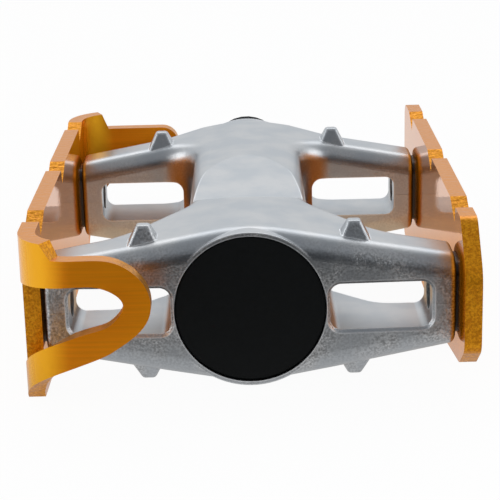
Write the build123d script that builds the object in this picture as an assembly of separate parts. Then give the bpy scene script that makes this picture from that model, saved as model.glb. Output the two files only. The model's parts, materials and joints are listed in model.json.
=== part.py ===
from build123d import *
import math
import os

# Track pedal, in millimetres. Y runs along the spindle towards the crank, Z is up,
# X runs across the two cages. The origin is the centre of the spindle's shoulder.

# Spindle
THREAD_R = 7.14
THREAD_LENGTH = 12.5
THREAD_CHAMFER = 1.0
COLLAR_R = 8.7
COLLAR_WIDTH = 1.6
WRENCH_FLATS = 15.0
WRENCH_WIDTH = 7.0
NECK_R = 7.6
SHAFT_R = 5.3
SHAFT_TIP_R = 4.6
END_THREAD_R = 3.97
CENTRE_DRILL = 1.6

# Body casting
BODY_SETBACK = 12.25
BAR_SPACING = 60.2
BODY_WIDTH = 60.0
BAR_DEPTH = 10.9
OUT_HUB_STEP = 0.8
IN_HUB_STEP = 3.6
IN_HUB_HALF_WIDTH = 8.0
IN_HUB_FLARE = 7.0
HUB_R = 11.7
HUB_FACE_HALF = 12.0
HUB_HALF_HEIGHT = 11.8
ARM_HALF_HEIGHT = 6.9
ARM_END_ROUND = 0.9
CROWN_R = 32.0
EDGE_ROUND = 3.3
FLARE_ROUND = 5.0
WAIST_HALF_WIDTH = 9.3
WAIST_HALF_HEIGHT = 9.8
WAIST_DROP = 4.5
WAIST_RISE = 24.0
WAIST_BLEND = 6.0
WAIST_SINK = 0.1
GUSSET = 10.0
PLATEAU_LENGTH = 18.5
RUNOUT = 5.0
NEAR = 0.01
SHAFT_BORE_R = 6.6
SLOT_INNER = 11.6
SLOT_OUTER = 26.5
SLOT_HEIGHT = 7.0
SLOT_CORNER = 1.6
SLOT_LIP = 0.45
BOSS_OFFSET = 15.4
BOSS_SHIFT = 1.1
BOSS_TIP = 11.9
BOSS_BASE = 4.9
BOSS_DRAFT = 26.0
BOSS_ROUND = 0.7
BOSS_ROOT_SHARE = 0.6
PAD_HEIGHT = 0.4
PAD_LENGTH = 8.0
PAD_WIDTH = 11.0

# Cages
PLATE = 2.5
CAGE_HALF_HEIGHT = 12.85
TOOTH_SHIFT = 0.1
NOTCH_LENGTH = 6.3
NOTCH_DEPTH = 2.4
NOTCH_WALL = 0.9
REAR_CREST = 0.2
REAR_NOSE = 11.8
REAR_NOSE_RUN = 6.4
REAR_NOSE_TOP = 6.2
REAR_NOSE_LOW = -5.2
REAR_CUT_RUN = 24.6
REAR_CUT_STEP = 18.6
REAR_CUT_STEP_Z = -10.9
REAR_CUT_NOSE = 5.2
REAR_CUT_NOSE_Z = -8.9
REAR_HEEL = 14.4
FRONT_CREST = -1.9
FRONT_OVERHANG = 14.5
TAB_OVERHANG = 13.3
BEND_R = 8.0
LOOP_TOP = 10.6
LOOP_BOTTOM = -5.2
LOOP_TIP = 13.8
WINDOW_TOP = 6.75
WINDOW_BOTTOM = -0.75
WINDOW_TIP = 17.75
TAB_TOP = 10.0
TAB_BOTTOM = 1.0
TAB_TIP = 13.0
TAB_CORNER = 3.0
LOW_CORNER = -12.6
LOW_CORNER_RUN = 10.0
WINDOW_EDGE = 0.9
WINDOW_TOP_DROP = 1.2
WINDOW_LOW_DROP = 7.0

# Cage screws
SCREW_R = 2.45
SCREW_HOLE_R = 2.75
SCREW_HEAD_R = 4.4
SCREW_RIM = 0.25
SCREW_SINK = 0.1
SCREW_SEAT_GAP = 0.05
SCREW_STOP = 0.6
RECESS_WIDTH = 1.1
RECESS_SPAN = 4.2
RECESS_DEPTH = 1.5

# Bearings
BALL_R = 1.5875
OUT_BALLS = 12
IN_BALLS = 13
OUT_CUP_R = 9.6
IN_CUP_R = 10.2
CUP_WALL = 1.45
CUP_FLOOR = 1.5
CUP_LENGTH = 5.6
OUT_CUP_SEAT = 12.0
IN_CUP_SEAT = 8.6
RUN = 0.06
PRESS = 0.02
CONE_LENGTH = 2.6
CONE_LIP = 0.9
WASHER_THICKNESS = 0.9
WASHER_R = 6.0
KEY_WIDTH = 1.6
KEY_DEPTH = 0.7
NUT_FLATS = 11.0
NUT_HEIGHT = 2.4
STACK_GAP = 0.02
THREAD_END = 0.5

# Dust cap and seal
CAP_R = 11.0
CAP_FIT = 0.12
CAP_THICKNESS = 1.5
CAP_RECESS = 0.25
CAP_SKIRT_WALL = 1.2
CAP_SKIRT_LENGTH = 2.4
SEAL_LENGTH = 2.2
SEAL_LIP = 0.12

# Places along Y, first counted from the middle between the two bars
BAR_MIDDLE = BAR_SPACING / 2
BAR_FACE = BAR_MIDDLE + BAR_DEPTH / 2
BAR_BACK = BAR_MIDDLE - BAR_DEPTH / 2
OUT_FACE = -BAR_FACE - OUT_HUB_STEP
IN_FACE = BAR_FACE + IN_HUB_STEP
SHOULDER = IN_FACE + BODY_SETBACK
PLATEAU_EDGE = BAR_FACE - PLATEAU_LENGTH
HALF_WIDTH = BODY_WIDTH / 2
PAD_X = HALF_WIDTH + PAD_HEIGHT
OUTER_X = PAD_X + PLATE
LOOP_Y = -BAR_MIDDLE - FRONT_OVERHANG
TAB_Y = BAR_MIDDLE + TAB_OVERHANG
TOOTH_PITCH = BAR_MIDDLE - TOOTH_SHIFT


def ring(outer_r, inner_r, start, end):
    """Plain ring about the spindle's axis, from start to end along Y"""
    length = end - start
    outer = Cylinder(outer_r, length, align=(Align.CENTER, Align.CENTER, Align.MIN))
    solid = outer - Cylinder(inner_r, length, align=(Align.CENTER, Align.CENTER, Align.MIN))
    return Pos(0, start, 0) * (Rot(-90, 0, 0) * solid)


def rod(radius, start, end):
    """Round bar about the spindle's axis, from start to end along Y"""
    bar = Cylinder(radius, end - start, align=(Align.CENTER, Align.CENTER, Align.MIN))
    return Pos(0, start, 0) * (Rot(-90, 0, 0) * bar)


def slab(outline, start, end):
    """Outline drawn in X and Z, carried along Y from start to end"""
    return Pos(0, start, 0) * extrude(Plane.XZ * outline, amount=-(end - start))


def closed(points):
    """Face inside a closed run of straight edges"""
    return make_face(Polyline(*points, close=True))


def rounded(points):
    """Closed face through points of X, Y and the radius that the corner is rounded to"""
    face = make_face(Polyline(*[(x, y) for x, y, _ in points], close=True))
    for x, y, radius in points:
        if radius:
            face = fillet(face.vertices().sort_by_distance((x, y, 0))[0], radius)
    return face


# Body
def body_plan():
    """Hourglass seen from above, its arms drawn past their ends to be cut off square"""
    arm_end = HALF_WIDTH + RUNOUT
    right = [
        (IN_HUB_HALF_WIDTH, IN_FACE, EDGE_ROUND + ARM_END_ROUND),
        (IN_HUB_HALF_WIDTH + IN_HUB_FLARE, BAR_FACE, FLARE_ROUND),
        (arm_end, BAR_FACE, 0),
        (arm_end, BAR_BACK, 0),
        (WAIST_HALF_WIDTH, BAR_BACK, WAIST_BLEND),
        (WAIST_HALF_WIDTH, GUSSET - BAR_BACK, WAIST_BLEND),
        (WAIST_HALF_WIDTH + GUSSET, -BAR_BACK, WAIST_BLEND),
        (arm_end, -BAR_BACK, 0),
        (arm_end, -BAR_FACE, 0),
        (HUB_FACE_HALF, OUT_FACE, 0),
    ]
    return rounded(right + [(-x, y, r) for x, y, r in reversed(right)])


def body_elevation():
    """Front view of a bar: crowned at the hub, then falling straight to the arm ends"""
    reach = ARM_HALF_HEIGHT - HUB_HALF_HEIGHT + CROWN_R
    tilt = math.atan2(HALF_WIDTH, reach) - math.acos(CROWN_R / math.hypot(HALF_WIDTH, reach))
    apex = HUB_HALF_HEIGHT + CROWN_R * (1 / math.cos(tilt) - 1)
    arm_end = HALF_WIDTH + RUNOUT
    low = ARM_HALF_HEIGHT - RUNOUT * math.tan(tilt)
    upper = [(arm_end, low, 0), (0, apex, CROWN_R), (-arm_end, low, 0)]
    return rounded(upper + [(x, -z, r) for x, z, r in reversed(upper)])


def waist_elevation():
    """Side view of the casting: a sharp plateau edge outboard, and a slow rise to the inboard hub"""
    clear = 2 * HUB_HALF_HEIGHT
    slope = (HUB_HALF_HEIGHT - WAIST_HALF_HEIGHT) / WAIST_DROP
    upper = [
        (-SHOULDER, clear, 0),
        (-PLATEAU_EDGE - (clear - HUB_HALF_HEIGHT) / slope, clear, 0),
        (WAIST_DROP - PLATEAU_EDGE, WAIST_HALF_HEIGHT, WAIST_DROP),
        (WAIST_DROP - PLATEAU_EDGE + WAIST_RISE, HUB_HALF_HEIGHT + WAIST_SINK, 0),
        (SHOULDER, clear, 0),
    ]
    return rounded(upper + [(y, -z, r) for y, z, r in reversed(upper)])


def on_rim(edge):
    """True for an edge that runs along the casting between its walls and its top or bottom"""
    upright = abs(edge.tangent_at(0.5).Z) > 0.9
    across_arm = abs(abs(edge.center().X) - HALF_WIDTH - RUNOUT) < NEAR
    return not (upright or across_arm)


def body_blank():
    """Casting before anything is cut out of it"""
    blank = extrude(body_plan(), 2 * HUB_HALF_HEIGHT, both=True)
    blank = blank & slab(body_elevation(), -SHOULDER, SHOULDER)
    blank = fillet([e for e in blank.edges() if on_rim(e)], EDGE_ROUND)
    blank = blank & Box(BODY_WIDTH, 4 * SHOULDER, 4 * HUB_HALF_HEIGHT)
    ends = [e for e in blank.edges() if abs(abs(e.center().X) - HALF_WIDTH) < NEAR]
    blank = fillet(ends, ARM_END_ROUND)
    return blank & extrude(Plane.YZ * waist_elevation(), BODY_WIDTH, both=True)


def grip_boss(side, end, up):
    """Small tapered nub that keeps the shoe from sliding"""
    root = HUB_HALF_HEIGHT - (HUB_HALF_HEIGHT - ARM_HALF_HEIGHT) * BOSS_ROOT_SHARE
    nub = extrude(Rectangle(BOSS_BASE, BOSS_BASE), BOSS_TIP - root, taper=BOSS_DRAFT)
    nub = fillet([e for e in nub.edges() if e.center().Z > NEAR], BOSS_ROUND)
    nub = Pos(0, 0, root) * nub
    if up < 0:
        nub = Rot(180, 0, 0) * nub
    return Pos(side * BOSS_OFFSET, end * BAR_MIDDLE - BOSS_SHIFT, 0) * nub


def seating_pad(side, end):
    """Raised pad on an arm end that the cage lies against"""
    pad = Box(PAD_HEIGHT + 1, PAD_LENGTH, PAD_WIDTH)
    pad = fillet(pad.edges().filter_by(Axis.X), 2.0)
    return Pos(side * (PAD_X - (PAD_HEIGHT + 1) / 2), end * BAR_MIDDLE, 0) * pad


def strap_slot(side, end):
    """Slot along Y through one arm"""
    outline = RectangleRounded(SLOT_OUTER - SLOT_INNER, SLOT_HEIGHT, SLOT_CORNER)
    middle = side * (SLOT_INNER + SLOT_OUTER) / 2
    cut = slab(outline, -BAR_DEPTH, BAR_DEPTH + GUSSET)
    return Pos(middle, end * BAR_MIDDLE, 0) * cut


def on_mouth(edge):
    """True for an edge round the mouth of a slot in the outboard face"""
    place = edge.center()
    between = SLOT_INNER - NEAR < abs(place.X) < SLOT_OUTER + NEAR
    return between and place.Y < NEAR - BAR_FACE and abs(place.Z) < SLOT_HEIGHT / 2 + NEAR


def screw_bore(radius, side, end, start, stop):
    """Round bore along X at one arm end, between two distances from the spindle"""
    bore = Cylinder(radius, stop - start)
    return Pos(side * (start + stop) / 2, end * BAR_MIDDLE, 0) * (Rot(0, 90, 0) * bore)


def body():
    """The whole casting, with Y = 0 between its bars"""
    solid = body_blank()
    solid += rod(HUB_R, OUT_FACE, -BAR_MIDDLE)
    solid += rod(HUB_R, BAR_MIDDLE, IN_FACE)
    for side in (-1, 1):
        for end in (-1, 1):
            solid += seating_pad(side, end)
            solid += grip_boss(side, end, 1)
            solid += grip_boss(side, end, -1)
    for side in (-1, 1):
        for end in (-1, 1):
            solid -= strap_slot(side, end)
            solid -= screw_bore(SCREW_R + PRESS, side, end, SLOT_OUTER - 1, PAD_X + 1)
    solid = chamfer([e for e in solid.edges() if on_mouth(e)], SLOT_LIP)
    solid -= rod(SHAFT_BORE_R, OUT_FACE, IN_FACE)
    solid -= rod(OUT_CUP_R + PRESS, OUT_FACE - 1, OUT_FACE + OUT_CUP_SEAT)
    solid -= rod(CAP_R + CAP_FIT, OUT_FACE - 1, OUT_FACE + CAP_RECESS + CAP_THICKNESS)
    solid -= rod(IN_CUP_R + PRESS, IN_FACE - IN_CUP_SEAT, IN_FACE + 1)
    return solid


# Cages
def crests(shift):
    """Places of the three tooth crests along Y"""
    return [-BAR_MIDDLE + shift + TOOTH_PITCH * i for i in range(3)]


def tooth_edge(places, up):
    """Corner points along a toothed edge, a notch just behind each crest"""
    top = up * CAGE_HALF_HEIGHT
    bottom = up * (CAGE_HALF_HEIGHT - NOTCH_DEPTH)
    points = []
    for place in places:
        points.append((place, top, 0))
        points.append((place + NOTCH_WALL, bottom, 0))
        points.append((place + NOTCH_LENGTH, top, 0))
    return points


def rear_profile():
    """Side view of the flat rear cage, with the outboard end cut back for cornering"""
    teeth = crests(REAR_CREST)
    high = CAGE_HALF_HEIGHT
    nose = teeth[0] - REAR_NOSE
    heel = teeth[-1] + REAR_HEEL
    front = [(nose, REAR_NOSE_LOW, 2.5), (nose, REAR_NOSE_TOP, 5.0), (nose + REAR_NOSE_RUN, high, 3.0)]
    back = [(heel, high, 2.2), (heel, -high, 2.2)]
    below = list(reversed(tooth_edge(teeth[1:], -1)))
    cut_back = [(nose + REAR_CUT_RUN, -high, 3.0), (nose + REAR_CUT_STEP, REAR_CUT_STEP_Z, 3.0),
                (nose + REAR_CUT_NOSE, REAR_CUT_NOSE_Z, 2.5)]
    return rounded(front + tooth_edge(teeth, 1) + back + below + cut_back)


def front_profile():
    """Side view of the front cage between its two bends"""
    teeth = crests(FRONT_CREST)
    start = LOOP_Y + BEND_R
    end = TAB_Y - BEND_R
    high = CAGE_HALF_HEIGHT
    below = list(reversed(tooth_edge(teeth[1:], -1)))
    points = [(start, high, 0)] + tooth_edge(teeth, 1) + [(end, high, 0), (end, -high, 0)] + below
    return rounded(points + [(start + LOW_CORNER_RUN, -high, 0), (start, LOW_CORNER, 0)])


def bend_tube():
    """Quarter turn of the whole sheet about an upright line, from the plate's end inwards"""
    wall = Plane.XZ * (Pos(BEND_R - PLATE / 2, 0, 0) * Rectangle(PLATE, 2 * CAGE_HALF_HEIGHT))
    return Rot(0, 0, 180) * revolve(wall, Axis.Z, 90)


def radial_blade(low, high, start, end, steps):
    """Solid whose top and bottom follow two curves round a bend, cut square to the sheet"""
    sections = []
    for i in range(steps + 1):
        turn = start + (end - start) * i / steps
        plane = Plane(origin=(0, 0, 0), x_dir=(-math.cos(turn), -math.sin(turn), 0),
                      z_dir=(-math.sin(turn), math.cos(turn), 0))
        share = turn / (math.pi / 2)
        height = high(share) - low(share)
        box = Rectangle(PLATE + 2, height)
        sections.append(plane * (Pos(BEND_R - PLATE / 2, (high(share) + low(share)) / 2, 0) * box))
    return loft(sections, ruled=steps == 1)


def ease(share):
    """Gentle curve from the bend's plate end, 0, to its other end, 1"""
    back = 1 - share
    return 1 - (0.6 * back + 0.4 * back * back)


def blend(plate_height, far_height):
    """Height round a bend, from the plate to the part that is bent inwards"""
    return lambda share: plate_height + (far_height - plate_height) * ease(share)


def level(height):
    return lambda share: height


def front_bend(bands, step_end, step_start, step_height):
    """One bend of the front cage, kept where its bands are, with the step in its top edge"""
    tube = bend_tube()
    kept = None
    for low, high in bands:
        band = tube & radial_blade(low, high, 0, math.pi / 2, 6)
        kept = band if kept is None else kept + band
    above = level(CAGE_HALF_HEIGHT + 2)
    ramp = blend_line(CAGE_HALF_HEIGHT, step_height, step_start, step_end)
    kept -= radial_blade(ramp, above, step_start, step_end, 1)
    kept -= radial_blade(level(step_height), above, step_end, math.pi / 2, 6)
    return kept


def blend_line(first, second, start, end):
    """Straight ramp between two heights at two turns of the bend"""
    quarter = math.pi / 2
    return lambda share: first + (second - first) * (share * quarter - start) / (end - start)


def loop_outline():
    """Front view of the loop beyond its bend: band round a D shaped window"""
    root = -OUTER_X + BEND_R
    slope = (-1, -0.355)
    outer = [
        Spline((root, LOOP_TOP), (-LOOP_TIP - 4.5, LOOP_TOP - 0.6), (-LOOP_TIP - 0.7, 6.5),
               (-LOOP_TIP - 0.6, 1.6), (-LOOP_TIP - 5.0, -2.5), (root, LOOP_BOTTOM),
               tangents=((1, 0), slope)),
        Line((root, LOOP_BOTTOM), (root, LOOP_TOP)),
    ]
    inner = [
        Spline((root, WINDOW_TOP), (-WINDOW_TIP - 3.0, WINDOW_TOP - 0.25), (-WINDOW_TIP, 4.0),
               (-WINDOW_TIP - 1.5, 1.4), (root, WINDOW_BOTTOM), tangents=((1, 0), slope)),
        Line((root, WINDOW_BOTTOM), (root, WINDOW_TOP)),
    ]
    return make_face(outer) - make_face(inner)


def tab_outline():
    """Front view of the inboard tab beyond its bend"""
    root = -OUTER_X + BEND_R
    tip = [(-TAB_TIP, TAB_TOP, TAB_CORNER), (-TAB_TIP, TAB_BOTTOM, TAB_CORNER)]
    return rounded([(root, TAB_TOP, 0)] + tip + [(root, TAB_BOTTOM, 0)])


def loop_bend():
    """Bend between the plate and the outboard loop, with the window's two bands"""
    upper = (blend(WINDOW_TOP - WINDOW_TOP_DROP, WINDOW_TOP), level(CAGE_HALF_HEIGHT))
    lower = (blend(LOW_CORNER, LOOP_BOTTOM), blend(WINDOW_BOTTOM - WINDOW_LOW_DROP, WINDOW_BOTTOM))
    return front_bend([upper, lower], math.radians(70), math.radians(58), LOOP_TOP)


def tab_bend():
    """Bend between the plate and the inboard tab"""
    whole = (blend(-CAGE_HALF_HEIGHT, TAB_BOTTOM), level(CAGE_HALF_HEIGHT))
    return front_bend([whole], math.radians(78), math.radians(66), TAB_TOP)


def screw_head(side, end, gap, above):
    """Countersunk head in a cage's outer face, or its seat when grown by a gap"""
    outer = SCREW_HEAD_R + gap
    slope = SCREW_HEAD_R - SCREW_R
    rim = Cylinder(outer, SCREW_RIM + above, align=(Align.CENTER, Align.CENTER, Align.MIN))
    cone = Cone(SCREW_R + gap, outer, slope, align=(Align.CENTER, Align.CENTER, Align.MAX))
    place = Pos(side * (OUTER_X - SCREW_SINK - SCREW_RIM), end * BAR_MIDDLE, 0) * Rot(0, side * 90, 0)
    return place * (rim + cone)


def screw_holes(shape, side):
    """Cage with its two screw holes, countersunk from outside"""
    for end in (-1, 1):
        shape -= screw_bore(SCREW_HOLE_R, side, end, PAD_X - 1, OUTER_X - 1)
        shape -= screw_head(side, end, SCREW_SEAT_GAP, 1)
    return shape


def rear_cage():
    plate = Pos(PAD_X, 0, 0) * extrude(Plane.YZ * rear_profile(), PLATE)
    return screw_holes(plate, 1)


def front_cage():
    """Toothed plate, two bends, the outboard loop and the inboard tab, all of one sheet"""
    root = -OUTER_X + BEND_R
    plate = Pos(-OUTER_X, 0, 0) * extrude(Plane.YZ * front_profile(), PLATE)
    start = LOOP_Y + BEND_R
    high = WINDOW_TOP - WINDOW_TOP_DROP
    low = WINDOW_BOTTOM - WINDOW_LOW_DROP
    window = Box(3 * PLATE, 2 * WINDOW_EDGE, high - low)
    plate -= Pos(-OUTER_X, start, (high + low) / 2) * window
    plate += Pos(root, start, 0) * loop_bend()
    plate += Pos(root, TAB_Y - BEND_R, 0) * mirror(tab_bend(), Plane.XZ)
    plate += slab(loop_outline(), LOOP_Y, LOOP_Y + PLATE)
    plate += slab(tab_outline(), TAB_Y - PLATE, TAB_Y)
    return screw_holes(plate, -1)


def cage_screw(side, end):
    """Countersunk screw with a cross recess, threaded through the cage into an arm end"""
    tip = SLOT_OUTER + SCREW_STOP
    under_head = OUTER_X - SCREW_SINK - SCREW_RIM - (SCREW_HEAD_R - SCREW_R)
    shank = screw_bore(SCREW_R, side, end, tip, under_head + NEAR)
    arm = Box(RECESS_DEPTH, RECESS_WIDTH, RECESS_SPAN)
    cross = arm + Rot(90, 0, 0) * arm
    recess = Pos(side * (OUTER_X - SCREW_SINK - RECESS_DEPTH / 2), end * BAR_MIDDLE, 0) * cross
    return screw_head(side, end, 0, 0) + shank - recess


# Bearings, placed from the two hub faces
def race(pitch_r, place):
    """Track that a ring of balls runs in, wider than the balls by the running gap"""
    return Pos(0, place, 0) * (Rot(90, 0, 0) * Torus(pitch_r, BALL_R + RUN))


def balls(count, pitch_r, place):
    """Loose balls of one bearing, evenly spread round the spindle"""
    ball_set = []
    for i in range(count):
        turn = 2 * math.pi * i / count
        spot = Pos(pitch_r * math.cos(turn), place, pitch_r * math.sin(turn))
        ball_set.append(spot * Sphere(BALL_R))
    return ball_set


OUT_PITCH = OUT_CUP_R - CUP_WALL - RUN - BALL_R
IN_PITCH = IN_CUP_R - CUP_WALL - RUN - BALL_R
OUT_FLOOR = OUT_FACE + OUT_CUP_SEAT
IN_FLOOR = IN_FACE - IN_CUP_SEAT
OUT_BALL_Y = OUT_FLOOR - CUP_FLOOR - RUN - BALL_R
IN_BALL_Y = IN_FLOOR + CUP_FLOOR + RUN + BALL_R
CONE_END = OUT_BALL_Y - CONE_LENGTH
WASHER_END = CONE_END - STACK_GAP - WASHER_THICKNESS
NUT_END = WASHER_END - STACK_GAP - NUT_HEIGHT


def outboard_cup():
    """Pressed cup whose open side faces outboard"""
    middle_r = OUT_CUP_R - CUP_WALL / 2
    wall = ring(OUT_CUP_R, OUT_CUP_R - CUP_WALL, OUT_FLOOR - CUP_LENGTH, OUT_FLOOR)
    floor = ring(middle_r, SHAFT_BORE_R, OUT_FLOOR - CUP_FLOOR - BALL_R, OUT_FLOOR)
    return wall + floor - race(OUT_PITCH, OUT_BALL_Y)


def inboard_cup():
    """Pressed cup whose open side faces the crank"""
    middle_r = IN_CUP_R - CUP_WALL / 2
    wall = ring(IN_CUP_R, IN_CUP_R - CUP_WALL, IN_FLOOR, IN_FLOOR + CUP_LENGTH)
    floor = ring(middle_r, SHAFT_BORE_R, IN_FLOOR, IN_FLOOR + CUP_FLOOR + BALL_R)
    return wall + floor - race(IN_PITCH, IN_BALL_Y)


def keyway(start, end):
    """Groove along the threaded end that stops the washer from turning"""
    groove = Box(KEY_WIDTH, end - start, KEY_DEPTH, align=(Align.CENTER, Align.MIN, Align.MIN))
    return Pos(0, start, END_THREAD_R - KEY_DEPTH) * groove


def spindle():
    """One turned bar: outboard thread, taper, inboard cone, neck, wrench flats, crank thread"""
    tip = NUT_END - THREAD_END
    step = OUT_BALL_Y + CONE_LIP + THREAD_END
    flats = SHOULDER - COLLAR_WIDTH - WRENCH_WIDTH
    end = SHOULDER + THREAD_LENGTH
    profile = [
        (0, tip),
        (END_THREAD_R - THREAD_END, tip),
        (END_THREAD_R, tip + THREAD_END),
        (END_THREAD_R, step),
        (SHAFT_TIP_R, step),
        (SHAFT_R, IN_FLOOR),
        (SHAFT_R, IN_BALL_Y),
        (IN_PITCH, IN_BALL_Y),
        (IN_PITCH, IN_BALL_Y + BALL_R + THREAD_END),
        (NECK_R, IN_BALL_Y + BALL_R + 2 * THREAD_END),
        (NECK_R, flats),
        (COLLAR_R, flats),
        (COLLAR_R, SHOULDER),
        (THREAD_R, SHOULDER),
        (THREAD_R, end - THREAD_CHAMFER),
        (THREAD_R - THREAD_CHAMFER, end),
        (0, end),
    ]
    bar = revolve(closed(profile), Axis.Y)
    for side in (-1, 1):
        flat = Box(COLLAR_R, WRENCH_WIDTH, 4 * COLLAR_R)
        bar -= Pos(side * (WRENCH_FLATS + COLLAR_R) / 2, flats + WRENCH_WIDTH / 2, 0) * flat
    bar -= race(IN_PITCH, IN_BALL_Y)
    bar -= keyway(tip - 1, step - THREAD_END)
    drill = Cone(CENTRE_DRILL, 0.1, CENTRE_DRILL, align=(Align.CENTER, Align.CENTER, Align.MIN))
    bar -= Pos(0, end, 0) * (Rot(90, 0, 0) * drill)
    return bar


def outboard_cone():
    """Threaded cone that the outboard balls run on"""
    bore = END_THREAD_R + STACK_GAP
    inner_r = OUT_PITCH - BALL_R - RUN
    shell = ring(OUT_PITCH, bore, CONE_END, OUT_BALL_Y)
    nose = ring(inner_r, bore, OUT_BALL_Y, OUT_BALL_Y + CONE_LIP)
    return shell + nose - race(OUT_PITCH, OUT_BALL_Y)


def lock_washer():
    """Flat washer with a tongue in the spindle's groove"""
    start = WASHER_END
    end = CONE_END - STACK_GAP
    washer = ring(WASHER_R, END_THREAD_R + STACK_GAP, start, end)
    width = KEY_WIDTH - 4 * STACK_GAP
    depth = KEY_DEPTH + STACK_GAP
    tongue = Box(width, end - start, depth, align=(Align.CENTER, Align.MIN, Align.MIN))
    return washer + Pos(0, start, END_THREAD_R - KEY_DEPTH + 2 * STACK_GAP) * tongue


def lock_nut():
    """Hexagon nut that locks the cone"""
    hexagon = RegularPolygon(NUT_FLATS / 2, 6, major_radius=False)
    nut = slab(hexagon, NUT_END, WASHER_END - STACK_GAP)
    return nut - rod(END_THREAD_R + STACK_GAP, NUT_END - 1, WASHER_END + 1)


def dust_cap():
    """Black disc in the outboard face, held by a skirt in the cup's bore"""
    face = OUT_FACE + CAP_RECESS
    back = face + CAP_THICKNESS - STACK_GAP
    disc = rod(CAP_R, face, back)
    disc = fillet(disc.edges().sort_by(Axis.Y)[0], CAP_THICKNESS / 4)
    skirt_r = OUT_CUP_R - PRESS
    skirt = ring(skirt_r, skirt_r - CAP_SKIRT_WALL, back - CAP_THICKNESS / 2, back + CAP_SKIRT_LENGTH)
    return disc + skirt


def inboard_seal():
    """Rubber ring in the mouth of the hub, its lip just clear of the spindle"""
    start = IN_FLOOR + CUP_LENGTH + STACK_GAP
    seal = ring(IN_CUP_R, NECK_R + SEAL_LIP, start, start + SEAL_LENGTH)
    return fillet(seal.edges().sort_by(Axis.Y)[-1], SEAL_LENGTH / 5)


def pieces():
    """Every node of the pedal with its solid, with Y = 0 between the bars"""
    parts = {
        "body": body(),
        "rear_cage": rear_cage(),
        "front_cage": front_cage(),
        "dust_cap": dust_cap(),
        "spindle": spindle(),
        "outboard_cup": outboard_cup(),
        "inboard_cup": inboard_cup(),
        "outboard_cone": outboard_cone(),
        "lock_washer": lock_washer(),
        "lock_nut": lock_nut(),
        "inboard_seal": inboard_seal(),
    }
    for side, cage in ((-1, "front"), (1, "rear")):
        for end, place in ((-1, "outboard"), (1, "inboard")):
            parts[f"{cage}_{place}_screw"] = cage_screw(side, end)
    for i, ball in enumerate(balls(OUT_BALLS, OUT_PITCH, OUT_BALL_Y), 1):
        parts[f"outboard_ball_{i:02d}"] = ball
    for i, ball in enumerate(balls(IN_BALLS, IN_PITCH, IN_BALL_Y), 1):
        parts[f"inboard_ball_{i:02d}"] = ball
    return parts


os.makedirs("parts", exist_ok=True)
for name, shape in pieces().items():
    solids = (Pos(0, -SHOULDER, 0) * shape).solids()
    piece = solids[0] if len(solids) == 1 else Compound(children=solids)
    export_step(piece, f"parts/{name}.step")
    print(name, len(solids), round(piece.volume, 1))
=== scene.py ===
# %% [markdown]
# # A track pedal
# The pedal is one light alloy casting between two toothed cages of gold anodised sheet. The solids of
# every piece are already made at their real size, so this lesson gives them finishes, cuts the crank
# thread that the solids leave plain, and lights the whole as a product on white.

# %% Load the solids
import bpy
import bmesh
import json
import math
from mathutils import Matrix, Vector


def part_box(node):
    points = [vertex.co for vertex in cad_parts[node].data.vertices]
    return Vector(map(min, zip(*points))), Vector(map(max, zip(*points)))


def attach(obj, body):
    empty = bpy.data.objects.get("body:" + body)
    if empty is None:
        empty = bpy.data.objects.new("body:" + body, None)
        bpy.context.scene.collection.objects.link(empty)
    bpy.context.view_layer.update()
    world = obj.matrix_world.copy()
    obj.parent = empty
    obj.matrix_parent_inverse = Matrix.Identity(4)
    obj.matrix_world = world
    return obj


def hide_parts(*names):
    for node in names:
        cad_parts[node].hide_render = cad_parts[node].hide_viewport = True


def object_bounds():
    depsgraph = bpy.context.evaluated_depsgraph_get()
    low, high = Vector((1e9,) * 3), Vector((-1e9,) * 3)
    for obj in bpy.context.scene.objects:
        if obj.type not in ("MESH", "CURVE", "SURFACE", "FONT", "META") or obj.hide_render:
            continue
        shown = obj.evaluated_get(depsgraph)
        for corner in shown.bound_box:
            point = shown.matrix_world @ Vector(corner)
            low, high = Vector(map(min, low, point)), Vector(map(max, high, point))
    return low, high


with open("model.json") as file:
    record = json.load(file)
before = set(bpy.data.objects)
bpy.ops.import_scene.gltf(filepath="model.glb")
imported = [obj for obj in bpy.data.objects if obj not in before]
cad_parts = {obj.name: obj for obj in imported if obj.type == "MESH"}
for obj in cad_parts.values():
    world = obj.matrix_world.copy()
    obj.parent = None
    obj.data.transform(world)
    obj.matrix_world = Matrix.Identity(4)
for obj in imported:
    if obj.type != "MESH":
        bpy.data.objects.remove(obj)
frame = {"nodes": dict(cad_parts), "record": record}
nodes = frame["nodes"]
cad_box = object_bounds()
MM = 0.001
print("Loaded", len(nodes), "nodes")

# %% [markdown]
# ## Helpers for finishes
# A colour is easiest to read off as an sRGB hex value, but the renderer works in linear light, so one
# function turns one into the other. A finish is a small graph of nodes. A second function adds a node,
# gives it its settings, and either sets or links each of its inputs. Inputs without a handy name go by
# their number. A Map Range has the two ends of what comes in at 1 and 2, and of what goes out at 3 and
# 4. A Mix has its two numbers at 2 and 3, or its two colours at 6 and 7. A noise hardly leaves the range
# from 0.3 to 0.7, so that range or less of it is spread out to the full effect.

# %% Colour helper
def colour(hex_value):
    """Linear colour, with full alpha, from an sRGB hex value"""
    channels = [int(hex_value[i:i + 2], 16) / 255 for i in (1, 3, 5)]
    linear = [c / 12.92 if c <= 0.04045 else ((c + 0.055) / 1.055) ** 2.4 for c in channels]
    return (*linear, 1.0)


print("Middle grey in linear light:", [round(c, 3) for c in colour("#808080")])

# %% Node helpers
def add(tree, kind, inputs=(), **settings):
    """Add a shader node, set its properties, and set or link its inputs"""
    node = tree.nodes.new("ShaderNode" + kind)
    for name, value in settings.items():
        setattr(node, name, value)
    for key, value in dict(inputs).items():
        if isinstance(value, bpy.types.NodeSocket):
            tree.links.new(value, node.inputs[key])
        else:
            node.inputs[key].default_value = value
    return node


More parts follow.
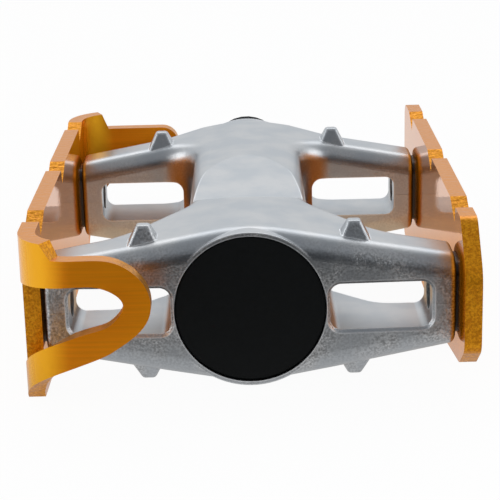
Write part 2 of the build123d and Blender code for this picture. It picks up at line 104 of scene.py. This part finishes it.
def new_finish(name):
    """Empty material, with its node tree and its Object coordinates"""
    material = bpy.data.materials.new(name)
    material.use_nodes = True
    tree = material.node_tree
    tree.nodes.clear()
    place = add(tree, "TexCoord")
    return material, tree, place


print("Helpers ready")

# %% [markdown]
# ## The camera
# The photograph was taken from in front of the dust cap, about 17 degrees above it, with a long lens.
# The lens and the place were worked out from corners of the cages, so they are written as numbers.
# A camera looks along its own -Z, so its matrix has the right, up and backward directions as columns.

# %% Camera
LENS = 114.61
SENSOR_WIDTH = 36
PITCH = math.radians(17.162)
ROLL = math.radians(1.396)
CAMERA_AT = Vector((0.145, -305.82, 76.457)) * MM

forward = Vector((0, math.cos(PITCH), -math.sin(PITCH)))
right = Vector((1, 0, 0))
down = forward.cross(right)
rolled_right = right * math.cos(ROLL) + down * math.sin(ROLL)
rolled_down = down * math.cos(ROLL) - right * math.sin(ROLL)
turn = Matrix((rolled_right, -rolled_down, -forward)).transposed()
camera_data = bpy.data.cameras.new("camera")
camera_data.lens = LENS
camera_data.sensor_width = SENSOR_WIDTH
camera_data.clip_start = 0.01
camera = bpy.data.objects.new("camera", camera_data)
camera.matrix_world = Matrix.Translation(CAMERA_AT) @ turn.to_4x4()
bpy.context.collection.objects.link(camera)
bpy.context.scene.camera = camera
bpy.context.scene.view_settings.view_transform = "Standard"
print("Camera at", [round(v, 4) for v in CAMERA_AT])

# %% [markdown]
# ## The floor
# Polished metal shows what lies under and round it. The floor is a pale sheet that keeps a soft shadow
# and is plain white to the eye. A Light Path node tells a look from the camera from a look by way of a
# mirror, so the metal can see another floor, with painted shade and light. Its places are in metres.
# Far in front it has painted shade, which makes the casting's walls dark. Painted light makes it
# brighter up to the pedal and under it, where it also has a painted warm tint that stands in for light
# thrown back by the cages. Beside the pedal it is nearly white.

# %% Painted shade and light on the floor, as the metal sees it
SHADE_FAR, SHADE_NEAR, UNDER_FAR = -0.150, -0.084, -0.056
SHADE_INNER, SHADE_OUTER = 0.038, 0.066
SHADED, OPEN, UNDER_EXTRA, BESIDE = 0.07, 0.62, 0.20, 0.86

floor_paper, tree, place = new_finish("studio_floor_paper")
path = add(tree, "LightPath")
to_eye = path.outputs["Is Camera Ray"]
at = add(tree, "SeparateXYZ", {0: place.outputs["Object"]})
# Painted shade: far in front the floor is dark to a mirror, and painted light makes it brighter under the
# pedal
depth = add(tree, "MapRange", {0: at.outputs["Y"], 1: SHADE_FAR, 2: SHADE_NEAR, 3: SHADED, 4: OPEN})
under = add(tree, "MapRange", {0: at.outputs["Y"], 1: SHADE_NEAR, 2: UNDER_FAR})
extra = add(tree, "Math", {0: under.outputs[0], 1: UNDER_EXTRA}, operation="MULTIPLY")
depth = add(tree, "Math", {0: depth.outputs[0], 1: extra.outputs[0]}, operation="ADD")
aside = add(tree, "Math", {0: at.outputs["X"]}, operation="ABSOLUTE")
aside = add(tree, "MapRange", {0: aside.outputs[0], 1: SHADE_INNER, 2: SHADE_OUTER})
level = add(tree, "Mix", {"Factor": aside.outputs[0], 2: depth.outputs[0], 3: BESIDE})
level = add(tree, "Mix", {"Factor": to_eye, 2: level.outputs[0], 3: 1.0})
print("Floor in a mirror:", SHADED, "far in front,", round(OPEN + UNDER_EXTRA, 2), "under the pedal")

# %% Painted warm light and real soft shadow on the floor
WARM_END, COLD_FROM = -0.020, 0.010
SHADOW_SHARE = 0.05

past = add(tree, "MapRange", {0: at.outputs["Y"], 1: WARM_END, 2: COLD_FROM})
cold = add(tree, "Math", {0: past.outputs[0], 1: aside.outputs[0]}, operation="MAXIMUM")
cold = add(tree, "Math", {0: cold.outputs[0], 1: to_eye}, operation="MAXIMUM")
# Painted warm light: under the pedal the floor takes a warm tint, standing in for light thrown back by
# the gold cages
painted_warm_light = add(tree, "Math", {0: under.outputs[0], 1: cold.outputs[0]}, operation="SUBTRACT", use_clamp=True)
tint = add(tree, "Mix", {"Factor": painted_warm_light.outputs[0], 6: colour("#FFFFFF"), 7: colour("#EFCDAA")},
           data_type="RGBA")
glow = add(tree, "Emission", {"Color": tint.outputs[2], "Strength": level.outputs[0]})
# The camera sees the glow with a small share of real paper, which is enough for a soft shadow
kept = add(tree, "Math", {0: to_eye, 1: SHADOW_SHARE}, operation="MULTIPLY")
seen = add(tree, "Math", {0: to_eye, 1: path.outputs["Is Glossy Ray"]}, operation="MAXIMUM")
share = add(tree, "Math", {0: seen.outputs[0], 1: kept.outputs[0]}, operation="SUBTRACT")
paper = add(tree, "BsdfDiffuse", {"Color": colour("#F4F4F4")})
mixed = add(tree, "MixShader", {0: share.outputs[0], 1: paper.outputs[0], 2: glow.outputs[0]})
add(tree, "OutputMaterial", {"Surface": mixed.outputs[0]})
print("Floor paper:", len(tree.nodes), "nodes")

# %% Floor sheet
FLOOR_Z = cad_box[0][2]
FLOOR_GAP = 0.1 * MM
FLOOR_FRONT = -0.20
FLOOR_HALF_WIDTH, FLOOR_HALF_DEPTH = 0.4, 0.3

sheet = bmesh.new()
bmesh.ops.create_grid(sheet, x_segments=1, y_segments=1, size=1)
bmesh.ops.scale(sheet, vec=(FLOOR_HALF_WIDTH, FLOOR_HALF_DEPTH, 1), verts=sheet.verts)
middle = (0, FLOOR_FRONT + FLOOR_HALF_DEPTH, FLOOR_Z - FLOOR_GAP)
bmesh.ops.translate(sheet, vec=middle, verts=sheet.verts)
floor_mesh = bpy.data.meshes.new("floor")
sheet.to_mesh(floor_mesh)
sheet.free()
floor_mesh.materials.append(floor_paper)
floor = bpy.data.objects.new("floor", floor_mesh)
bpy.context.collection.objects.link(floor)
print("Floor at", round(FLOOR_Z, 4))

# %% [markdown]
# ## The room round the pedal
# In the photograph the tops and the rounded edges are pale, and the walls that face the camera are
# dark. So the room is white at the back and the sides, grey above the camera and dark at its height.
# Each of these is a wide lobe round a direction. The camera itself sees plain white past the floor.

# %% Surroundings
world = bpy.data.worlds.new("studio")
world.use_nodes = True
bpy.context.scene.world = world
air = world.node_tree
air.nodes.clear()
way = add(air, "TexCoord")


def lobe(direction, low, high):
    """1 towards a direction, falling to 0 away from it"""
    toward = add(air, "VectorMath", {0: way.outputs["Generated"], 1: Vector(direction).normalized()},
                 operation="DOT_PRODUCT")
    return add(air, "MapRange", {0: toward.outputs["Value"], 1: low, 2: high},
               interpolation_type="SMOOTHSTEP")


grey = lobe((0, -0.5, 0.87), 0.42, 0.80)
dark = lobe((0, -0.98, -0.16), 0.52, 0.88)
studio = add(air, "Mix", {"Factor": grey.outputs[0], 6: colour("#E2E5E8"), 7: colour("#94979B")},
             data_type="RGBA")
studio = add(air, "Mix", {"Factor": dark.outputs[0], 6: studio.outputs[2], 7: colour("#36383B")},
             data_type="RGBA")
light = add(air, "Background", {"Color": studio.outputs[2], "Strength": 1.0})
white = add(air, "Background", {"Color": colour("#FFFFFF"), "Strength": 1.0})
ray = add(air, "LightPath")
both = add(air, "MixShader", {0: ray.outputs["Is Camera Ray"], 1: light.outputs[0], 2: white.outputs[0]})
add(air, "OutputWorld", {"Surface": both.outputs[0]})
print("Surroundings:", len(air.nodes), "nodes")

# %% [markdown]
# ## The lamps
# A weak lamp high at the back gives the flat top a soft sheen, and one on each side lights the cages.
# The fill in front lifts the dust cap and the walls. As a bright square in the dark metal it would look
# wrong, so it is kept out of the mirror images.

# %% Lamps
def soft_lamp(name, place, aim, size, watts, mirrored=True):
    """Square soft light that looks at a point, and may be kept out of the mirror images"""
    data = bpy.data.lights.new(name, "AREA")
    data.shape = "RECTANGLE"
    data.size, data.size_y = size
    data.energy = watts
    lamp = bpy.data.objects.new(name, data)
    away = Vector(aim) - Vector(place)
    lamp.matrix_world = Matrix.Translation(place) @ away.to_track_quat("-Z", "Y").to_matrix().to_4x4()
    lamp.visible_glossy = mirrored
    bpy.context.collection.objects.link(lamp)


MIDDLE = (0, -0.05, 0)
soft_lamp("high_back", (0, 0.36, 0.47), MIDDLE, (0.7, 0.28), 0.62)
soft_lamp("left", (-0.6, -0.18, 0.25), MIDDLE, (0.5, 0.4), 0.9)
soft_lamp("right", (0.6, -0.18, 0.25), MIDDLE, (0.5, 0.4), 0.8)
soft_lamp("front_fill", (0, -0.72, 0.25), MIDDLE, (0.6, 0.4), 2.6, mirrored=False)
print("Lamps:", len(bpy.data.lights))

# %% [markdown]
# ## Tumbled cast aluminium
# The body is cast, then tumbled with abrasive stones and brightened. To the eye it is a pale metal, even
# and almost smooth on the flat top. Its walls are dimpled and specked, most of all the outboard face,
# and that in patches. A broad noise makes the patches, and keeps the tone from being the same all over.
# A fine noise makes the specks, which are drawn coarser than real so that they show.

# %% Tone and specks of the casting
# Grains to a metre: patches 6 mm across and specks of a third of a millimetre
PATCHES, SPECKS = 170.0, 3000.0
SPECK_DARK, SPECK_BRIGHT = 0.62, 1.22
# Up and down share of the normal where a wall ends and a flat face starts
WALL, FLAT = 0.35, 0.95
# Only the outboard face has all of the specks
ROUGH_FROM, SMOOTH_FROM, INNER_SHARE = -79.0 * MM, -75.0 * MM, 0.3
PATCH_SHARE = 0.35

aluminium, tree, place = new_finish("tumbled_cast_aluminium")
spot = place.outputs["Object"]
at = add(tree, "SeparateXYZ", {0: spot})
facing = add(tree, "SeparateXYZ", {0: place.outputs["Normal"]})
upward = add(tree, "Math", {0: facing.outputs["Z"]}, operation="ABSOLUTE")
wall = add(tree, "MapRange", {0: upward.outputs[0], 1: WALL, 2: FLAT, 3: 1.0, 4: 0.0})
wide = add(tree, "TexNoise", {"Vector": spot, "Scale": PATCHES, "Detail": 3.0})
tone = add(tree, "ValToRGB", {0: wide.outputs["Fac"]})
tone.color_ramp.elements[0].position = 0.38
tone.color_ramp.elements[0].color = colour("#BDC1C5")
tone.color_ramp.elements[1].position = 0.62
tone.color_ramp.elements[1].color = colour("#CACBCC")
worn = add(tree, "MapRange", {0: at.outputs["Y"], 1: SMOOTH_FROM, 2: ROUGH_FROM, 3: INNER_SHARE, 4: 1.0})
worn = add(tree, "Math", {0: worn.outputs[0], 1: wall.outputs[0]}, operation="MULTIPLY")
patch = add(tree, "MapRange", {0: wide.outputs["Fac"], 1: 0.42, 2: 0.58, 3: PATCH_SHARE, 4: 1.0})
worn = add(tree, "Math", {0: worn.outputs[0], 1: patch.outputs[0]}, operation="MULTIPLY")
speck = add(tree, "TexNoise", {"Vector": spot, "Scale": SPECKS, "Detail": 2.0})
speck = add(tree, "MapRange", {0: speck.outputs["Fac"], 1: 0.38, 2: 0.62,
                               3: SPECK_DARK, 4: SPECK_BRIGHT})
speck = add(tree, "Mix", {"Factor": worn.outputs[0], 2: 1.0, 3: speck.outputs[0]})
tone = add(tree, "VectorMath", {0: tone.outputs[0], "Scale": speck.outputs[0]}, operation="SCALE")
flow = add(tree, "MapRange", {0: wide.outputs["Fac"], 1: 0.3, 2: 0.7, 3: 0.31, 4: 0.35})
rough = add(tree, "MapRange", {0: wall.outputs[0], 3: 0.34, 4: flow.outputs[0]})
print("Specks are", round(1 / SPECKS / MM, 2), "mm across")

# %% [markdown]
# The stones rub the corners bright first, and the rounded lips catch the light, so their lighter colour
# is partly wear and partly a painted highlight. A Bevel node gives the normal of a rounded corner, and
# where it differs from the true one the metal is lighter. The pads that the cages are screwed against lie
# in the cages' shade, which is painted on them as a dull dark tone.

# %% Corners lighter with wear and a painted highlight, pads with painted shade
LIP_WIDTH = 0.4 * MM
# Cosine of the angle between the two normals where a corner starts and where it is fully bright
LIP_STARTS, LIP_FULL, LIP_ROUGHNESS = 0.995, 0.95, 0.5
PAD_FROM, PAD_FULL, PAD_SHADE_TONE = 29.6 * MM, 30.0 * MM, 0.12

shape = add(tree, "NewGeometry")
rounded = add(tree, "Bevel", {"Radius": LIP_WIDTH}, samples=6)
corner = add(tree, "VectorMath", {0: shape.outputs["Normal"], 1: rounded.outputs[0]},
             operation="DOT_PRODUCT")
corner = add(tree, "MapRange", {0: corner.outputs["Value"], 1: LIP_STARTS, 2: LIP_FULL})
# Lighter colour on corners: partly the stones' wear, partly a painted highlight along the lips
tone = add(tree, "Mix", {"Factor": corner.outputs[0], 6: tone.outputs[0], 7: colour("#F4F6F8")},
           data_type="RGBA")
rough = add(tree, "Mix", {"Factor": corner.outputs[0], 2: rough.outputs[0], 3: LIP_ROUGHNESS})
# Painted shade: the pads that the cages are screwed against are darkened, as in the cages' shade
pad_painted_shade = add(tree, "Math", {0: at.outputs["X"]}, operation="ABSOLUTE")
pad_painted_shade = add(tree, "MapRange", {0: pad_painted_shade.outputs[0], 1: PAD_FROM, 2: PAD_FULL, 3: 1.0, 4: PAD_SHADE_TONE})
tone = add(tree, "VectorMath", {0: tone.outputs[2], "Scale": pad_painted_shade.outputs[0]}, operation="SCALE")
print("Pads start at", round(PAD_FROM / MM, 1), "mm from the middle")

# %% [markdown]
# The relief is too fine to model. Two Bump nodes in a row give it: one for the dimples, which the
# stones leave, and one for the faint line half way up, where the two halves of the die met.

# %% Relief of the casting
# Dimples to a metre, so 0.6 mm across, which is coarser than real
DIMPLES = 1700.0
DIMPLE_DEPTH = 0.12 * MM
SMOOTHEST = 0.08
SEAM_HALF, SEAM_EDGE, SEAM_HEIGHT = 0.05 * MM, 0.16 * MM, 0.05 * MM

dimples = add(tree, "TexNoise", {"Vector": spot, "Scale": DIMPLES, "Detail": 4.0, "Roughness": 0.75})
depth = add(tree, "MapRange", {0: worn.outputs[0], 3: SMOOTHEST, 4: 1.0})
pitted = add(tree, "Bump", {"Height": dimples.outputs["Fac"], "Strength": depth.outputs[0],
                            "Distance": DIMPLE_DEPTH})
seam = add(tree, "Math", {0: at.outputs["Z"]}, operation="ABSOLUTE")
seam = add(tree, "MapRange", {0: seam.outputs[0], 1: SEAM_HALF, 2: SEAM_EDGE, 3: 1.0, 4: 0.0})
bump = add(tree, "Bump", {"Height": seam.outputs[0], "Strength": 0.25, "Distance": SEAM_HEIGHT,
                          "Normal": pitted.outputs[0]})
metal = add(tree, "BsdfPrincipled", {"Base Color": tone.outputs[0], "Metallic": 1.0,
                                     "Roughness": rough.outputs[0], "Normal": bump.outputs[0]})
add(tree, "OutputMaterial", {"Surface": metal.outputs[0]})
print("Cast aluminium:", len(tree.nodes), "nodes")

# %% [markdown]
# ## Gold anodised sheet
# The cages are punched and bent from sheet, then dyed gold while the oxide layer is still open. To the
# eye the rolled faces are deep orange, and the punched edges, which are rougher, are paler. The shader
# has to know which is which. The direction across the sheet is X on the plates and Y on the loop and
# the tab, and turns evenly round the bends. Comparing it with the surface's normal tells a face from
# an edge. Subtracting a place from the start of a bend, and keeping only what is above 0, gives how far
# round the bend it lies. The direction has both an X and a Y part only on a bend, so their product tells
# the middle of a bend, where the grain is coarser and a painted highlight makes the dye more yellow.

# %% Direction across the bent sheet
BEND = 8.0 * MM
SHEET_BACK, LOOP_Y, TAB_Y = -32.9 * MM, -96.0 * MM, -8.0 * MM
BEND_MIDDLE_FROM, BEND_MIDDLE_FULL = 0.10, 0.45


def across_bent_sheet(tree, at):
    """Direction through the sheet's thickness, on the plate, the bends, the loop and the tab"""
    across = add(tree, "Math", {0: SHEET_BACK + BEND, 1: at.outputs["X"]}, operation="SUBTRACT")
    across = add(tree, "Math", {0: across.outputs[0], 1: 0.0}, operation="MAXIMUM")
    near = add(tree, "Math", {0: LOOP_Y + BEND, 1: at.outputs["Y"]}, operation="SUBTRACT")
    near = add(tree, "Math", {0: near.outputs[0], 1: 0.0}, operation="MAXIMUM")
    far = add(tree, "Math", {0: at.outputs["Y"], 1: TAB_Y - BEND}, operation="SUBTRACT")
    far = add(tree, "Math", {0: far.outputs[0], 1: 0.0}, operation="MAXIMUM")
    along = add(tree, "Math", {0: far.outputs[0], 1: near.outputs[0]}, operation="SUBTRACT")
    across = add(tree, "Math", {0: across.outputs[0], 1: -1.0}, operation="MULTIPLY")
    outward = add(tree, "CombineXYZ", {"X": across.outputs[0], "Y": along.outputs[0]})
    return add(tree, "VectorMath", {0: outward.outputs[0]}, operation="NORMALIZE").outputs[0]


def middle_of_bend(tree, outward):
    """1 in the middle of a bend, 0 where the sheet is flat"""
    turn = add(tree, "SeparateXYZ", {0: outward})
    bend = add(tree, "Math", {0: turn.outputs["X"], 1: turn.outputs["Y"]}, operation="MULTIPLY")
    bend = add(tree, "Math", {0: bend.outputs[0]}, operation="ABSOLUTE")
    return add(tree, "MapRange", {0: bend.outputs[0], 1: BEND_MIDDLE_FROM, 2: BEND_MIDDLE_FULL}).outputs[0]


print("Bends of", round(BEND / MM, 1), "mm at both ends of the front cage")

# %% [markdown]
# Rolling leaves fine lines along a face, under a dye that is nearly even. The lines are drawn 0.3 mm
# apart, which is coarser than real. The punch shears an edge and then tears it, so an edge is rough and
# of two tones. Where it looks up, a painted highlight makes it an even peach.

# %% Rolled faces
# Clouds of dye to a metre, so 11 mm across
DYE_CLOUDS = 90.0
ROLLED = (60.0, 60.0, 3200.0)
LINE_DARK, LINE_BRIGHT = 0.93, 1.06


def rolled_face(tree, spot):
    """Deep orange dye over the lines of the rolling"""
    dye = add(tree, "TexNoise", {"Vector": spot, "Scale": DYE_CLOUDS, "Detail": 2.0})
    dye = add(tree, "ValToRGB", {0: dye.outputs["Fac"]})
    dye.color_ramp.elements[0].position = 0.3
    dye.color_ramp.elements[0].color = colour("#EB8805")
    dye.color_ramp.elements[1].position = 0.7
    dye.color_ramp.elements[1].color = colour("#F49408")
    lines = add(tree, "Mapping", {"Vector": spot, "Scale": ROLLED})
    lines = add(tree, "TexNoise", {"Vector": lines.outputs[0], "Scale": 1.0, "Detail": 2.0})
    lines = add(tree, "MapRange", {0: lines.outputs["Fac"], 1: 0.3, 2: 0.7, 3: LINE_DARK, 4: LINE_BRIGHT})
    return add(tree, "VectorMath", {0: dye.outputs[0], "Scale": lines.outputs[0]},
               operation="SCALE").outputs[0]


print("Lines of the rolling are", round(1 / ROLLED[2] / MM, 1), "mm apart")

# %% Punched edges
# Torn grains to a metre, so 0.4 mm across
TORN_GRAIN = 2700.0
# Upward share of the normal where the painted peach highlight starts and where it is full
UP_FROM, UP_FULL = 0.90, 0.99


def punched_edge(tree, spot, normal):
    """Torn edge of two tones, with an even painted peach highlight where it looks up"""
    torn = add(tree, "TexNoise", {"Vector": spot, "Scale": TORN_GRAIN, "Detail": 3.0, "Roughness": 0.7})
    torn = add(tree, "ValToRGB", {0: torn.outputs["Fac"]})
    torn.color_ramp.elements[0].position = 0.40
    torn.color_ramp.elements[0].color = colour("#C87A08")
    torn.color_ramp.elements[1].position = 0.62
    torn.color_ramp.elements[1].color = colour("#F4A61C")
    # Painted highlight: edges that face up are painted an even peach, as where they catch the light from
    # above
    upward = add(tree, "SeparateXYZ", {0: normal})
    upward = add(tree, "MapRange", {0: upward.outputs["Z"], 1: UP_FROM, 2: UP_FULL})
    return add(tree, "Mix", {"Factor": upward.outputs[0], 6: torn.outputs[0], 7: colour("#E29238")},
               data_type="RGBA").outputs[2]


print("Torn grains are", round(1 / TORN_GRAIN / MM, 2), "mm across")

# %% [markdown]
# Rolled sheet is satin when it is looked at squarely and a mirror when it is looked along, which Layer
# Weight gives. In the middle of a bend its grain stands out, and a painted highlight makes the dye more
# yellow, as where the bend catches the light.

# %% Gold anodised sheet
# Grain to a metre, so 0.9 mm across, which is coarser than real
SHEET_GRAIN = 1100.0
GRAIN_DEPTH = 0.15 * MM
FACE_GRAIN, BEND_GRAIN, EDGE_GRAIN = 0.05, 0.34, 0.85
SATIN, MIRROR, EDGE_ROUGHNESS = 0.38, 0.04, 0.30
GLANCE_FROM, GLANCE_FULL = 0.35, 0.85
# Share of the normal along the sheet's direction, below which it is an edge and above which a face
EDGE_BELOW, FACE_ABOVE = 0.55, 0.75
# The oxide layer takes away a part of the metal's mirror
GOLD_METALLIC = 0.72


def gold_sheet(name, bent):
    """Gold anodised sheet; bent sheet has a loop and a tab beyond its two bends"""
    material, tree, place = new_finish(name)
    spot, normal = place.outputs["Object"], place.outputs["Normal"]
    at = add(tree, "SeparateXYZ", {0: spot})
    outward = across_bent_sheet(tree, at) if bent else (1.0, 0.0, 0.0)
    match = add(tree, "VectorMath", {0: normal, 1: outward}, operation="DOT_PRODUCT")
    match = add(tree, "Math", {0: match.outputs["Value"]}, operation="ABSOLUTE")
    edge = add(tree, "MapRange", {0: match.outputs[0], 1: EDGE_BELOW, 2: FACE_ABOVE, 3: 1.0, 4: 0.0})
    face = rolled_face(tree, spot)
    depth = add(tree, "MapRange", {0: edge.outputs[0], 3: FACE_GRAIN, 4: EDGE_GRAIN})
    if bent:
        bend_middle = middle_of_bend(tree, outward)
        # Painted highlight: the middle of a bend is painted a paler yellow, where the bend catches the
        # light
        face = add(tree, "Mix", {"Factor": bend_middle, 6: face, 7: colour("#F5AE18")},
                   data_type="RGBA").outputs[2]
        coarse = add(tree, "Math", {0: bend_middle, 1: BEND_GRAIN}, operation="MULTIPLY")
        depth = add(tree, "Math", {0: depth.outputs[0], 1: coarse.outputs[0]}, operation="MAXIMUM")
    cut = punched_edge(tree, spot, normal)
    tone = add(tree, "Mix", {"Factor": edge.outputs[0], 6: face, 7: cut}, data_type="RGBA")
    glance = add(tree, "LayerWeight", {"Blend": 0.5})
    satin = add(tree, "MapRange", {0: glance.outputs["Facing"], 1: GLANCE_FROM, 2: GLANCE_FULL,
                                   3: SATIN, 4: MIRROR})
    rough = add(tree, "MapRange", {0: edge.outputs[0], 3: satin.outputs[0], 4: EDGE_ROUGHNESS})
    grain = add(tree, "TexNoise", {"Vector": spot, "Scale": SHEET_GRAIN, "Detail": 3.0})
    bump = add(tree, "Bump", {"Height": grain.outputs["Fac"], "Strength": depth.outputs[0],
                              "Distance": GRAIN_DEPTH})
    gilt = add(tree, "BsdfPrincipled", {"Base Color": tone.outputs[2], "Metallic": GOLD_METALLIC,
                                        "Roughness": rough.outputs[0], "Normal": bump.outputs[0]})
    add(tree, "OutputMaterial", {"Surface": gilt.outputs[0]})
    return material


cage_finishes = {
    "front_cage": gold_sheet("gold_anodised_bent_sheet", True),
    "rear_cage": gold_sheet("gold_anodised_flat_sheet", False),
}
print("Cages:", [finish.name for finish in cage_finishes.values()])

# %% [markdown]
# ## Moulded plastic
# The dust cap is a black polymer, moulded in a tool with a fine texture. To the eye it is matte and
# gives back very little light, so its specular level is low. The grain is drawn 0.45 mm wide, which is
# coarser than real.

# %% Plastic
CAP_GRAIN = 2200.0

plastic, tree, place = new_finish("matte_moulded_plastic")
grain = add(tree, "TexNoise", {"Vector": place.outputs["Object"], "Scale": CAP_GRAIN, "Detail": 3.0})
tone = add(tree, "ValToRGB", {0: grain.outputs["Fac"]})
tone.color_ramp.elements[0].color = colour("#040505")
tone.color_ramp.elements[1].color = colour("#0B0D0E")
bump = add(tree, "Bump", {"Height": grain.outputs["Fac"], "Strength": 0.3, "Distance": 0.03 * MM})
matte = add(tree, "BsdfPrincipled", {"Base Color": tone.outputs[0], "Roughness": 0.55,
                                     "Specular IOR Level": 0.16, "Normal": bump.outputs[0]})
add(tree, "OutputMaterial", {"Surface": matte.outputs[0]})
print("Plastic:", plastic.name)

# %% [markdown]
# ## Black oxide on turned steel
# The spindle is turned and then blackened in a hot bath, which is thin enough to leave the fine rings
# of the tool in sight. It is a dark, slightly mottled metal. A Wave node of scale 1 repeats every 0.31
# units, so at a scale of 700 the rings are 0.45 mm apart, which is coarser than real.

# %% Black steel
TOOL_RINGS = 700.0
# Clouds to a metre, so 4 mm across
OXIDE_CLOUDS = 250.0

black_steel, tree, place = new_finish("black_oxide_turned_steel")
rings = add(tree, "TexWave", {"Vector": place.outputs["Object"], "Scale": TOOL_RINGS, "Distortion": 0.3},
            bands_direction="Y")
mottle = add(tree, "TexNoise", {"Vector": place.outputs["Object"], "Scale": OXIDE_CLOUDS, "Detail": 4.0})
tone = add(tree, "ValToRGB", {0: mottle.outputs["Fac"]})
tone.color_ramp.elements[0].color = colour("#2B2C2E")
tone.color_ramp.elements[1].color = colour("#4A4B4E")
bump = add(tree, "Bump", {"Height": rings.outputs["Fac"], "Strength": 0.12, "Distance": 0.03 * MM})
oxide = add(tree, "BsdfPrincipled", {"Base Color": tone.outputs[0], "Metallic": 1.0, "Roughness": 0.36,
                                     "Normal": bump.outputs[0]})
add(tree, "OutputMaterial", {"Surface": oxide.outputs[0]})
print("Black steel:", black_steel.name)

# %% [markdown]
# ## Bright steel and rubber
# The bearing parts are hardened and polished, so they mirror sharply. The screws, washer and nut are
# zinc plated, which is a little softer to the eye. Both have a faint mottle 1.7 mm across. The seal is
# nitrile rubber, a dull black with a grain of 0.7 mm, which is coarser than real.

# %% Bright steel
STEEL_MOTTLE = 600.0


def polished_steel(name, low, high, roughness):
    """Bright steel between two tones"""
    material, tree, place = new_finish(name)
    spot = place.outputs["Object"]
    mottle = add(tree, "TexNoise", {"Vector": spot, "Scale": STEEL_MOTTLE, "Detail": 3.0})
    tone = add(tree, "ValToRGB", {0: mottle.outputs["Fac"]})
    tone.color_ramp.elements[0].color = colour(low)
    tone.color_ramp.elements[1].color = colour(high)
    bump = add(tree, "Bump", {"Height": mottle.outputs["Fac"], "Strength": 0.06, "Distance": 0.02 * MM})
    bright = add(tree, "BsdfPrincipled", {"Base Color": tone.outputs[0], "Metallic": 1.0,
                                          "Roughness": roughness, "Normal": bump.outputs[0]})
    add(tree, "OutputMaterial", {"Surface": bright.outputs[0]})
    return material


bearing_steel = polished_steel("hardened_polished_steel", "#B4B6B8", "#C8CACC", 0.16)
zinc_steel = polished_steel("bright_zinc_plate", "#A9ACAF", "#C4C7C9", 0.30)
print("Bright steel:", bearing_steel.name, "and", zinc_steel.name)

# %% Rubber
RUBBER_GRAIN = 1500.0

rubber, tree, place = new_finish("nitrile_rubber")
grain = add(tree, "TexNoise", {"Vector": place.outputs["Object"], "Scale": RUBBER_GRAIN, "Detail": 2.0})
tone = add(tree, "ValToRGB", {0: grain.outputs["Fac"]})
tone.color_ramp.elements[0].color = colour("#101011")
tone.color_ramp.elements[1].color = colour("#1E1E20")
dull = add(tree, "BsdfPrincipled", {"Base Color": tone.outputs[0], "Roughness": 0.7})
add(tree, "OutputMaterial", {"Surface": dull.outputs[0]})
print("Rubber:", rubber.name)

# %% [markdown]
# ## Thread turns on the spindle
# A pedal's thread is 9/16 inch across with 20 turns to the inch, so a turn rises 1.27 mm. The solid has a
# plain rod of the thread's full width. The rod is drawn in to the root of the thread, and a small ridge
# with sloping sides is spun round it while it rises, which is what a screw cutting tool leaves. It is
# right-handed. The spindle's other end is covered by its nut and the dust cap, and keeps its plain rod.

# %% Thread helpers
# Half widths of the ridge at its crest and root, as shares of a turn's rise
CREST_SHARE = 0.07
ROOT_SHARE = 0.44
TURN_STEPS = 30
RIM_MARGIN = 0.06 * MM
SUNK = 0.05 * MM


def draw_in(shape, start, end, rim_radius, root):
    """Bring the rim of a plain rod in to the thread's root"""
    rim = [v for v in shape.verts
           if start <= v.co.y <= end and abs(math.hypot(v.co.x, v.co.z) - rim_radius) < RIM_MARGIN]
    bmesh.ops.scale(shape, vec=(root / rim_radius, 1, root / rim_radius), verts=rim)
    return len(rim)


def thread_ridge(shape, start, end, crest, root, pitch):
    """Ridge wound about Y from start to end, sunk a little into the rod"""
    inside = root - SUNK
    profile = [(inside, -ROOT_SHARE), (crest, -CREST_SHARE), (crest, CREST_SHARE), (inside, ROOT_SHARE)]
    corners = [shape.verts.new((radius, start + rise * pitch, 0)) for radius, rise in profile]
    face = shape.faces.new(corners)
    turns = (end - start) / pitch
    steps = round(turns * TURN_STEPS)
    bmesh.ops.spin(shape, geom=[face] + face.edges[:] + corners, cent=(0, 0, 0), axis=(0, 1, 0),
                   dvec=(0, (end - start) / steps, 0), angle=2 * math.pi * turns, steps=steps,
                   use_duplicate=False)
    return steps


print("Crest is", round(2 * CREST_SHARE, 2), "of a turn's rise wide")

# %% Spindle with its crank thread
ROD_RADIUS, CREST, ROOT, PITCH_LENGTH = 7.14 * MM, 7.13 * MM, 6.40 * MM, 1.27 * MM
ROD_START, ROD_END = -0.05 * MM, 11.6 * MM
RIDGE_START, RIDGE_END = 0.75 * MM, 11.2 * MM
SHARP_ANGLE = math.radians(35)

plain = nodes["spindle"]
low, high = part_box("spindle")
turned = bmesh.new()
turned.from_mesh(plain.data)
bmesh.ops.remove_doubles(turned, verts=turned.verts, dist=0.001 * MM)
print("Rim points drawn in:", draw_in(turned, ROD_START, ROD_END, ROD_RADIUS, ROOT))
print("Steps of the ridge:", thread_ridge(turned, RIDGE_START, RIDGE_END, CREST, ROOT, PITCH_LENGTH))
print("Spindle runs from", round(low[1], 4), "to", round(high[1], 4))
bmesh.ops.recalc_face_normals(turned, faces=turned.faces)
turned_mesh = bpy.data.meshes.new("spindle_turned")
turned.to_mesh(turned_mesh)
turned.free()
turned_mesh.shade_smooth()
turned_mesh.set_sharp_from_angle(angle=SHARP_ANGLE)
spindle_turned = bpy.data.objects.new("spindle_turned", turned_mesh)
bpy.context.collection.objects.link(spindle_turned)
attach(spindle_turned, "spindle_assembly")
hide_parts("spindle")
print("Threaded spindle:", len(turned_mesh.polygons), "faces")

# %% [markdown]
# ## Put the finishes on
# The record of the part says what each piece is made of. The two cages are of one material there, but
# only the front one has bends, so each has a finish of its own.

# %% Give each node its finish
slots = {item["node"]: item["material_slot"] for item in frame["record"]["subparts"]}
finishes = {
    "cast_aluminium": aluminium,
    "black_plastic": plastic,
    "black_steel": black_steel,
    "bearing_steel": bearing_steel,
    "zinc_steel": zinc_steel,
    "seal_rubber": rubber,
}
for name, node in nodes.items():
    finish = cage_finishes[name] if name in cage_finishes else finishes[slots[name]]
    node.data.materials.clear()
    node.data.materials.append(finish)
turned_mesh.materials.clear()
turned_mesh.materials.append(finishes["black_steel"])
print("Finished", len(nodes), "nodes")
